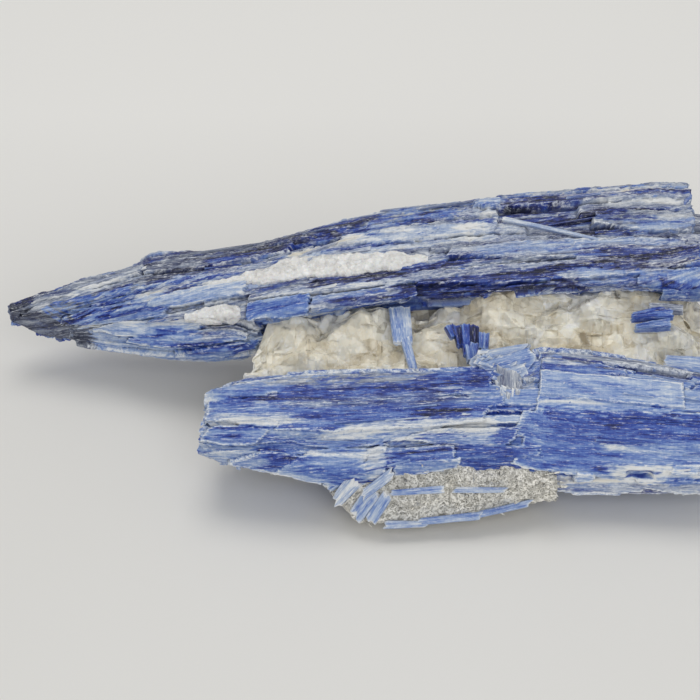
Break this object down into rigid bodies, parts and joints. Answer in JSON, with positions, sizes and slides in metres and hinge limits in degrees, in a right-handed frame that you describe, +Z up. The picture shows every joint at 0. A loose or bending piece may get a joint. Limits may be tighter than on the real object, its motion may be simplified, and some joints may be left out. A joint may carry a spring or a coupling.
{
  "type": "kyanite blade cluster",
  "caption": "Mineral specimen: bundles of long flat blue kyanite blades meeting at a slight angle, with pale granular quartz between and under them.",
  "frame": {"origin": "on the surface that the cluster rests on, under the middle of its footprint", "axes": "+X along the blades, towards their broken right-hand ends; +Y from the front bundle to the back bundle; +Z up"},
  "size_m": [0.1555, 0.0748, 0.0349],
  "materials": {
    "kyanite_blades": "pearly blue blades streaked lengthways from navy to pale grey-blue, striated, satin",
    "free_crystals": "light to dark blue striated blades, satin",
    "quartz": "granular cream to grey quartz, broken facets, slightly translucent and glassy",
    "white_quartz": "fine-grained white quartz, slightly glassy",
    "pale_crust": "cream fibrous mica and weathered kyanite, matt"
  },
  "bodies": {
    "root": {"back_blade_bundle": "kyanite_blades", "front_blade_bundle": "kyanite_blades", "quartz_matrix": "quartz", "upper_quartz_lens": "white_quartz", "lower_quartz_lens": "white_quartz", "pale_crust": "pale_crust", "cross_blade": "free_crystals", "stub_crystals": "free_crystals", "end_blades": "free_crystals", "low_end_blade": "free_crystals"}
  },
  "joints": []
}
